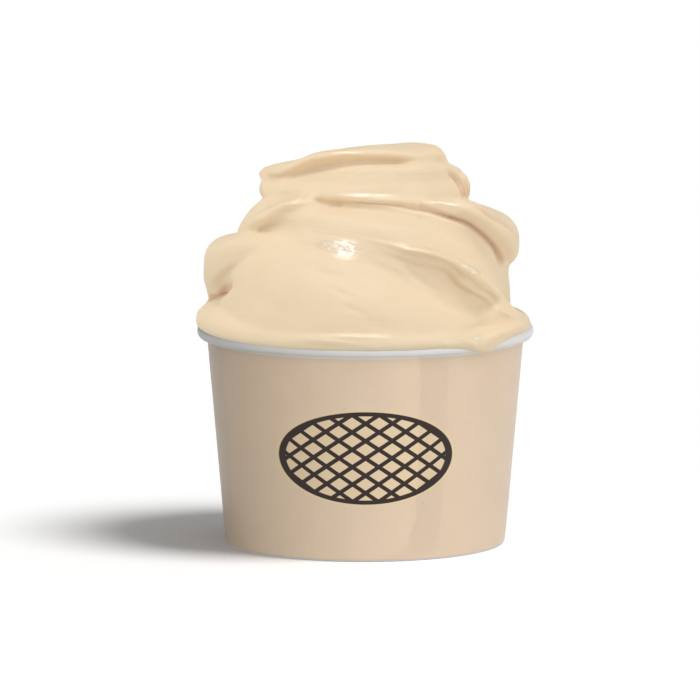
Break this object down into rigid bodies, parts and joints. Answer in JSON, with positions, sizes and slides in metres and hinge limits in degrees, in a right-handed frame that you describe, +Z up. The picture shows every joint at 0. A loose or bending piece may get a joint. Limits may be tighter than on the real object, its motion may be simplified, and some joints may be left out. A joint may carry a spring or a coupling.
{
  "type": "gelato cup",
  "caption": "Conical paper cup with a rolled rim, filled and heaped with soft gelato laid in broad overlapping folds, with a lip running over the rim.",
  "frame": {"origin": "on the ground, under the middle of the cup's foot", "axes": "+Z up along the cup's axis, -Y towards the front that is seen first, +X to that front's right"},
  "size_m": [0.0902, 0.0914, 0.1085],
  "materials": {
    "cup_paper": "matte board printed a warm beige all over its outside, with faint paper fibre",
    "white_paper": "white board with a thin soft-sheen coating, as on the rolled rim, the inside and the floor",
    "gelato": "soft opaque cream, moist satin sheen with small bright glints, light scattering under the surface"
  },
  "bodies": {
    "root": {"cup_wall": "cup_paper", "cup_floor": "white_paper", "gelato": "gelato"}
  },
  "joints": []
}
